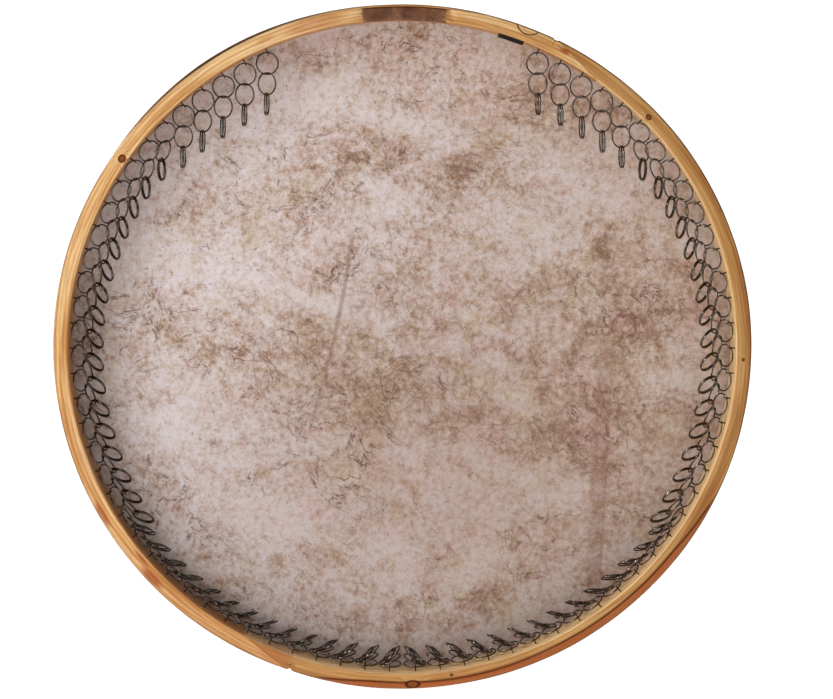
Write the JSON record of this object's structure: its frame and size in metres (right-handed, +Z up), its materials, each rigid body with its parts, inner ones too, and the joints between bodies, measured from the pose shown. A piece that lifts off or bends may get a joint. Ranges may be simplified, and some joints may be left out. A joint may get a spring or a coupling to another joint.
{
  "type": "frame drum",
  "caption": "Round frame drum: a shallow bent-wood hoop with a skin on one side and short chains of small steel rings hung all round inside it.",
  "frame": {"origin": "middle of the drum, halfway through its depth", "axes": "+Z up as the drum is held, +X to the right seen from the open back, +Y along the drum's axis from the open back to the skin"},
  "size_m": [0.53, 0.06, 0.52],
  "materials": {
    "wood": "satin",
    "skin": "matte",
    "dark_leather": "satin",
    "black_pad": "matte",
    "steel_wire": "satin",
    "ring_steel": "satin"
  },
  "bodies": {
    "drum": {"hoop_left": "wood", "hoop_right": "wood", "skin_head": "skin", "thumb_pad": "dark_leather", "finger_pad": "black_pad", "ring_eyes": "steel_wire"},
    "ring_chain_right_01": {"ring_chain_right_01": "ring_steel"},
    "ring_chain_right_02": {"ring_chain_right_02": "ring_steel"},
    "ring_chain_right_03": {"ring_chain_right_03": "ring_steel"},
    "ring_chain_right_04": {"ring_chain_right_04": "ring_steel"},
    "ring_chain_right_05": {"ring_chain_right_05": "ring_steel"},
    "ring_chain_right_06": {"ring_chain_right_06": "ring_steel"},
    "ring_chain_right_07": {"ring_chain_right_07": "ring_steel"},
    "ring_chain_right_08": {"ring_chain_right_08": "ring_steel"},
    "ring_chain_right_09": {"ring_chain_right_09": "ring_steel"},
    "ring_chain_right_10": {"ring_chain_right_10": "ring_steel"},
    "ring_chain_right_11": {"ring_chain_right_11": "ring_steel"},
    "ring_chain_right_12": {"ring_chain_right_12": "ring_steel"},
    "ring_chain_right_13": {"ring_chain_right_13": "ring_steel"},
    "ring_chain_right_14": {"ring_chain_right_14": "ring_steel"},
    "ring_chain_right_15": {"ring_chain_right_15": "ring_steel"},
    "ring_chain_right_16": {"ring_chain_right_16": "ring_steel"},
    "ring_chain_right_17": {"ring_chain_right_17": "ring_steel"},
    "ring_chain_right_18": {"ring_chain_right_18": "ring_steel"},
    "ring_chains_right_19_20": {"ring_chains_right_19_20": "ring_steel"},
    "ring_chains_right_21_22": {"ring_chains_right_21_22": "ring_steel"},
    "ring_chains_right_23_24": {"ring_chains_right_23_24": "ring_steel"},
    "ring_chains_right_25_26": {"ring_chains_right_25_26": "ring_steel"},
    "ring_chains_right_27_28": {"ring_chains_right_27_28": "ring_steel"},
    "ring_chains_right_29_30": {"ring_chains_right_29_30": "ring_steel"},
    "ring_chains_right_31_32": {"ring_chains_right_31_32": "ring_steel"},
    "ring_chains_right_33_34": {"ring_chains_right_33_34": "ring_steel"},
    "ring_chains_right_35_36": {"ring_chains_right_35_36": "ring_steel"},
    "ring_chain_left_01": {"ring_chain_left_01": "ring_steel"},
    "ring_chain_left_02": {"ring_chain_left_02": "ring_steel"},
    "ring_chain_left_03": {"ring_chain_left_03": "ring_steel"},
    "ring_chain_left_04": {"ring_chain_left_04": "ring_steel"},
    "ring_chain_left_05": {"ring_chain_left_05": "ring_steel"},
    "ring_chain_left_06": {"ring_chain_left_06": "ring_steel"},
    "ring_chain_left_07": {"ring_chain_left_07": "ring_steel"},
    "ring_chain_left_08": {"ring_chain_left_08": "ring_steel"},
    "ring_chain_left_09": {"ring_chain_left_09": "ring_steel"},
    "ring_chain_left_10": {"ring_chain_left_10": "ring_steel"},
    "ring_chain_left_11": {"ring_chain_left_11": "ring_steel"},
    "ring_chain_left_12": {"ring_chain_left_12": "ring_steel"},
    "ring_chain_left_13": {"ring_chain_left_13": "ring_steel"},
    "ring_chain_left_14": {"ring_chain_left_14": "ring_steel"},
    "ring_chain_left_15": {"ring_chain_left_15": "ring_steel"},
    "ring_chain_left_16": {"ring_chain_left_16": "ring_steel"},
    "ring_chain_left_17": {"ring_chain_left_17": "ring_steel"},
    "ring_chain_left_18": {"ring_chain_left_18": "ring_steel"},
    "ring_chains_left_19_20": {"ring_chains_left_19_20": "ring_steel"},
    "ring_chains_left_21_22": {"ring_chains_left_21_22": "ring_steel"},
    "ring_chains_left_23_24": {"ring_chains_left_23_24": "ring_steel"},
    "ring_chains_left_25_26": {"ring_chains_left_25_26": "ring_steel"},
    "ring_chains_left_27_28": {"ring_chains_left_27_28": "ring_steel"},
    "ring_chains_left_29_30": {"ring_chains_left_29_30": "ring_steel"},
    "ring_chains_left_31_32": {"ring_chains_left_31_32": "ring_steel"},
    "ring_chains_left_33_34": {"ring_chains_left_33_34": "ring_steel"},
    "ring_chains_left_35_36": {"ring_chains_left_35_36": "ring_steel"}
  },
  "joints": [
    {"name": "swing_right_01", "type": "hinge", "parent": "drum", "child": "ring_chain_right_01", "pos_m": [0.10226, -0.012, 0.22324], "axis": [1, 0, 0], "range_deg": [-55, 50]},
    {"name": "swing_right_02", "type": "hinge", "parent": "drum", "child": "ring_chain_right_02", "pos_m": [0.11914, -0.012, 0.21505], "axis": [1, 0, 0], "range_deg": [-50, 50]},
    {"name": "swing_right_03", "type": "hinge", "parent": "drum", "child": "ring_chain_right_03", "pos_m": [0.13538, -0.012, 0.20561], "axis": [1, 0, 0], "range_deg": [-35, 50]},
    {"name": "swing_right_04", "type": "hinge", "parent": "drum", "child": "ring_chain_right_04", "pos_m": [0.15089, -0.012, 0.19497], "axis": [1, 0, 0], "range_deg": [-30, 8]},
    {"name": "swing_right_05", "type": "hinge", "parent": "drum", "child": "ring_chain_right_05", "pos_m": [0.16557, -0.012, 0.18317], "axis": [1, 0, 0], "range_deg": [-10, 25]},
    {"name": "lift_right_06", "type": "hinge", "parent": "drum", "child": "ring_chain_right_06", "pos_m": [0.17933, -0.012, 0.17027], "axis": [-0.7031, 0, 0.7111], "range_deg": [0, 45]},
    {"name": "lift_right_07", "type": "hinge", "parent": "drum", "child": "ring_chain_right_07", "pos_m": [0.19209, -0.012, 0.15634], "axis": [-0.6465, 0, 0.7629], "range_deg": [0, 45]},
    {"name": "lift_right_08", "type": "hinge", "parent": "drum", "child": "ring_chain_right_08", "pos_m": [0.20376, -0.012, 0.14145], "axis": [-0.5858, 0, 0.8104], "range_deg": [0, 45]},
    {"name": "lift_right_09", "type": "hinge", "parent": "drum", "child": "ring_chain_right_09", "pos_m": [0.21425, -0.012, 0.12568], "axis": [-0.5213, 0, 0.8534], "range_deg": [0, 45]},
    {"name": "lift_right_10", "type": "hinge", "parent": "drum", "child": "ring_chain_right_10", "pos_m": [0.2235, -0.012, 0.10912], "axis": [-0.4532, 0, 0.8914], "range_deg": [0, 45]},
    {"name": "lift_right_11", "type": "hinge", "parent": "drum", "child": "ring_chain_right_11", "pos_m": [0.23144, -0.012, 0.09187], "axis": [-0.382, 0, 0.9242], "range_deg": [0, 45]},
    {"name": "lift_right_12", "type": "hinge", "parent": "drum", "child": "ring_chain_right_12", "pos_m": [0.238, -0.012, 0.07403], "axis": [-0.3081, 0, 0.9513], "range_deg": [0, 45]},
    {"name": "lift_right_13", "type": "hinge", "parent": "drum", "child": "ring_chain_right_13", "pos_m": [0.24314, -0.012, 0.05571], "axis": [-0.2321, 0, 0.9727], "range_deg": [0, 45]},
    {"name": "lift_right_14", "type": "hinge", "parent": "drum", "child": "ring_chain_right_14", "pos_m": [0.24682, -0.012, 0.03704], "axis": [-0.1544, 0, 0.988], "range_deg": [0, 45]},
    {"name": "lift_right_15", "type": "hinge", "parent": "drum", "child": "ring_chain_right_15", "pos_m": [0.24901, -0.012, 0.01812], "axis": [-0.0756, 0, 0.9971], "range_deg": [0, 45]},
    {"name": "lift_right_16", "type": "hinge", "parent": "drum", "child": "ring_chain_right_16", "pos_m": [0.2497, -0.012, -0.00092], "axis": [0.0038, 0, 1], "range_deg": [0, 45]},
    {"name": "lift_right_17", "type": "hinge", "parent": "drum", "child": "ring_chain_right_17", "pos_m": [0.24887, -0.012, -0.01994], "axis": [0.0832, 0, 0.9965], "range_deg": [0, 45]},
    {"name": "lift_right_18", "type": "hinge", "parent": "drum", "child": "ring_chain_right_18", "pos_m": [0.24653, -0.012, -0.03884], "axis": [0.1619, 0, 0.9868], "range_deg": [0, 45]},
    {"name": "lift_right_19_20", "type": "hinge", "parent": "drum", "child": "ring_chains_right_19_20", "pos_m": [0.24271, -0.012, -0.05749], "axis": [0.2776, 0, 0.9607], "range_deg": [0, 45]},
    {"name": "lift_right_21_22", "type": "hinge", "parent": "drum", "child": "ring_chains_right_21_22", "pos_m": [0.23073, -0.012, -0.09355], "axis": [0.4247, 0, 0.9053], "range_deg": [0, 45]},
    {"name": "lift_right_23_24", "type": "hinge", "parent": "drum", "child": "ring_chains_right_23_24", "pos_m": [0.2133, -0.012, -0.12723], "axis": [0.5602, 0, 0.8284], "range_deg": [0, 36]},
    {"name": "lift_right_25_26", "type": "hinge", "parent": "drum", "child": "ring_chains_right_25_26", "pos_m": [0.19091, -0.012, -0.15772], "axis": [0.6807, 0, 0.7325], "range_deg": [0, 31.5]},
    {"name": "lift_right_27_28", "type": "hinge", "parent": "drum", "child": "ring_chains_right_27_28", "pos_m": [0.1642, -0.012, -0.18435], "axis": [0.784, 0, 0.6208], "range_deg": [0, 27]},
    {"name": "lift_right_29_30", "type": "hinge", "parent": "drum", "child": "ring_chains_right_29_30", "pos_m": [0.13385, -0.012, -0.20657], "axis": [0.8682, 0, 0.4962], "range_deg": [0, 22.5]},
    {"name": "lift_right_31_32", "type": "hinge", "parent": "drum", "child": "ring_chains_right_31_32", "pos_m": [0.10061, -0.012, -0.22396], "axis": [0.9323, 0, 0.3618], "range_deg": [0, 100]},
    {"name": "lift_right_33_34", "type": "hinge", "parent": "drum", "child": "ring_chains_right_33_34", "pos_m": [0.06524, -0.012, -0.2362], "axis": [0.9754, 0, 0.2206], "range_deg": [0, 110]},
    {"name": "lift_right_35_36", "type": "hinge", "parent": "drum", "child": "ring_chains_right_35_36", "pos_m": [0.0285, -0.012, -0.2431], "axis": [0.9972, 0, 0.0754], "range_deg": [0, 120]},
    {"name": "swing_left_01", "type": "hinge", "parent": "drum", "child": "ring_chain_left_01", "pos_m": [-0.10226, -0.012, 0.22324], "axis": [1, 0, 0], "range_deg": [-55, 50]},
    {"name": "swing_left_02", "type": "hinge", "parent": "drum", "child": "ring_chain_left_02", "pos_m": [-0.11914, -0.012, 0.21505], "axis": [1, 0, 0], "range_deg": [-50, 50]},
    {"name": "swing_left_03", "type": "hinge", "parent": "drum", "child": "ring_chain_left_03", "pos_m": [-0.13538, -0.012, 0.20561], "axis": [1, 0, 0], "range_deg": [-35, 50]},
    {"name": "swing_left_04", "type": "hinge", "parent": "drum", "child": "ring_chain_left_04", "pos_m": [-0.15089, -0.012, 0.19497], "axis": [1, 0, 0], "range_deg": [-30, 8]},
    {"name": "swing_left_05", "type": "hinge", "parent": "drum", "child": "ring_chain_left_05", "pos_m": [-0.16557, -0.012, 0.18317], "axis": [1, 0, 0], "range_deg": [-10, 25]},
    {"name": "lift_left_06", "type": "hinge", "parent": "drum", "child": "ring_chain_left_06", "pos_m": [-0.17933, -0.012, 0.17027], "axis": [-0.7031, 0, -0.7111], "range_deg": [0, 45]},
    {"name": "lift_left_07", "type": "hinge", "parent": "drum", "child": "ring_chain_left_07", "pos_m": [-0.19209, -0.012, 0.15634], "axis": [-0.6465, 0, -0.7629], "range_deg": [0, 45]},
    {"name": "lift_left_08", "type": "hinge", "parent": "drum", "child": "ring_chain_left_08", "pos_m": [-0.20376, -0.012, 0.14145], "axis": [-0.5858, 0, -0.8104], "range_deg": [0, 45]},
    {"name": "lift_left_09", "type": "hinge", "parent": "drum", "child": "ring_chain_left_09", "pos_m": [-0.21425, -0.012, 0.12568], "axis": [-0.5213, 0, -0.8534], "range_deg": [0, 45]},
    {"name": "lift_left_10", "type": "hinge", "parent": "drum", "child": "ring_chain_left_10", "pos_m": [-0.2235, -0.012, 0.10912], "axis": [-0.4532, 0, -0.8914], "range_deg": [0, 45]},
    {"name": "lift_left_11", "type": "hinge", "parent": "drum", "child": "ring_chain_left_11", "pos_m": [-0.23144, -0.012, 0.09187], "axis": [-0.382, 0, -0.9242], "range_deg": [0, 45]},
    {"name": "lift_left_12", "type": "hinge", "parent": "drum", "child": "ring_chain_left_12", "pos_m": [-0.238, -0.012, 0.07403], "axis": [-0.3081, 0, -0.9513], "range_deg": [0, 45]},
    {"name": "lift_left_13", "type": "hinge", "parent": "drum", "child": "ring_chain_left_13", "pos_m": [-0.24314, -0.012, 0.05571], "axis": [-0.2321, 0, -0.9727], "range_deg": [0, 45]},
    {"name": "lift_left_14", "type": "hinge", "parent": "drum", "child": "ring_chain_left_14", "pos_m": [-0.24682, -0.012, 0.03704], "axis": [-0.1544, 0, -0.988], "range_deg": [0, 45]},
    {"name": "lift_left_15", "type": "hinge", "parent": "drum", "child": "ring_chain_left_15", "pos_m": [-0.24901, -0.012, 0.01812], "axis": [-0.0756, 0, -0.9971], "range_deg": [0, 45]},
    {"name": "lift_left_16", "type": "hinge", "parent": "drum", "child": "ring_chain_left_16", "pos_m": [-0.2497, -0.012, -0.00092], "axis": [0.0038, 0, -1], "range_deg": [0, 45]},
    {"name": "lift_left_17", "type": "hinge", "parent": "drum", "child": "ring_chain_left_17", "pos_m": [-0.24887, -0.012, -0.01994], "axis": [0.0832, 0, -0.9965], "range_deg": [0, 45]},
    {"name": "lift_left_18", "type": "hinge", "parent": "drum", "child": "ring_chain_left_18", "pos_m": [-0.24653, -0.012, -0.03884], "axis": [0.1619, 0, -0.9868], "range_deg": [0, 45]},
    {"name": "lift_left_19_20", "type": "hinge", "parent": "drum", "child": "ring_chains_left_19_20", "pos_m": [-0.24271, -0.012, -0.05749], "axis": [0.2776, 0, -0.9607], "range_deg": [0, 45]},
    {"name": "lift_left_21_22", "type": "hinge", "parent": "drum", "child": "ring_chains_left_21_22", "pos_m": [-0.23073, -0.012, -0.09355], "axis": [0.4247, 0, -0.9053], "range_deg": [0, 45]},
    {"name": "lift_left_23_24", "type": "hinge", "parent": "drum", "child": "ring_chains_left_23_24", "pos_m": [-0.2133, -0.012, -0.12723], "axis": [0.5602, 0, -0.8284], "range_deg": [0, 36]},
    {"name": "lift_left_25_26", "type": "hinge", "parent": "drum", "child": "ring_chains_left_25_26", "pos_m": [-0.19091, -0.012, -0.15772], "axis": [0.6807, 0, -0.7325], "range_deg": [0, 31.5]},
    {"name": "lift_left_27_28", "type": "hinge", "parent": "drum", "child": "ring_chains_left_27_28", "pos_m": [-0.1642, -0.012, -0.18435], "axis": [0.784, 0, -0.6208], "range_deg": [0, 27]},
    {"name": "lift_left_29_30", "type": "hinge", "parent": "drum", "child": "ring_chains_left_29_30", "pos_m": [-0.13385, -0.012, -0.20657], "axis": [0.8682, 0, -0.4962], "range_deg": [0, 22.5]},
    {"name": "lift_left_31_32", "type": "hinge", "parent": "drum", "child": "ring_chains_left_31_32", "pos_m": [-0.10061, -0.012, -0.22396], "axis": [0.9323, 0, -0.3618], "range_deg": [0, 100]},
    {"name": "lift_left_33_34", "type": "hinge", "parent": "drum", "child": "ring_chains_left_33_34", "pos_m": [-0.06524, -0.012, -0.2362], "axis": [0.9754, 0, -0.2206], "range_deg": [0, 110]},
    {"name": "lift_left_35_36", "type": "hinge", "parent": "drum", "child": "ring_chains_left_35_36", "pos_m": [-0.0285, -0.012, -0.2431], "axis": [0.9972, 0, -0.0754], "range_deg": [0, 120]}
  ],
  "couplings": [
    {"joint": "lift_right_07", "follows": "lift_right_06", "ratio": 1},
    {"joint": "lift_right_08", "follows": "lift_right_06", "ratio": 1},
    {"joint": "lift_right_09", "follows": "lift_right_06", "ratio": 1},
    {"joint": "lift_right_10", "follows": "lift_right_06", "ratio": 1},
    {"joint": "lift_right_11", "follows": "lift_right_06", "ratio": 1},
    {"joint": "lift_right_12", "follows": "lift_right_06", "ratio": 1},
    {"joint": "lift_right_13", "follows": "lift_right_06", "ratio": 1},
    {"joint": "lift_right_14", "follows": "lift_right_06", "ratio": 1},
    {"joint": "lift_right_15", "follows": "lift_right_06", "ratio": 1},
    {"joint": "lift_right_16", "follows": "lift_right_06", "ratio": 1},
    {"joint": "lift_right_17", "follows": "lift_right_06", "ratio": 1},
    {"joint": "lift_right_18", "follows": "lift_right_06", "ratio": 1},
    {"joint": "lift_right_19_20", "follows": "lift_right_06", "ratio": 1},
    {"joint": "lift_right_21_22", "follows": "lift_right_06", "ratio": 1},
    {"joint": "lift_right_23_24", "follows": "lift_right_06", "ratio": 0.8},
    {"joint": "lift_right_25_26", "follows": "lift_right_06", "ratio": 0.7},
    {"joint": "lift_right_27_28", "follows": "lift_right_06", "ratio": 0.6},
    {"joint": "lift_right_29_30", "follows": "lift_right_06", "ratio": 0.5},
    {"joint": "lift_left_07", "follows": "lift_left_06", "ratio": 1},
    {"joint": "lift_left_08", "follows": "lift_left_06", "ratio": 1},
    {"joint": "lift_left_09", "follows": "lift_left_06", "ratio": 1},
    {"joint": "lift_left_10", "follows": "lift_left_06", "ratio": 1},
    {"joint": "lift_left_11", "follows": "lift_left_06", "ratio": 1},
    {"joint": "lift_left_12", "follows": "lift_left_06", "ratio": 1},
    {"joint": "lift_left_13", "follows": "lift_left_06", "ratio": 1},
    {"joint": "lift_left_14", "follows": "lift_left_06", "ratio": 1},
    {"joint": "lift_left_15", "follows": "lift_left_06", "ratio": 1},
    {"joint": "lift_left_16", "follows": "lift_left_06", "ratio": 1},
    {"joint": "lift_left_17", "follows": "lift_left_06", "ratio": 1},
    {"joint": "lift_left_18", "follows": "lift_left_06", "ratio": 1},
    {"joint": "lift_left_19_20", "follows": "lift_left_06", "ratio": 1},
    {"joint": "lift_left_21_22", "follows": "lift_left_06", "ratio": 1},
    {"joint": "lift_left_23_24", "follows": "lift_left_06", "ratio": 0.8},
    {"joint": "lift_left_25_26", "follows": "lift_left_06", "ratio": 0.7},
    {"joint": "lift_left_27_28", "follows": "lift_left_06", "ratio": 0.6},
    {"joint": "lift_left_29_30", "follows": "lift_left_06", "ratio": 0.5}
  ]
}
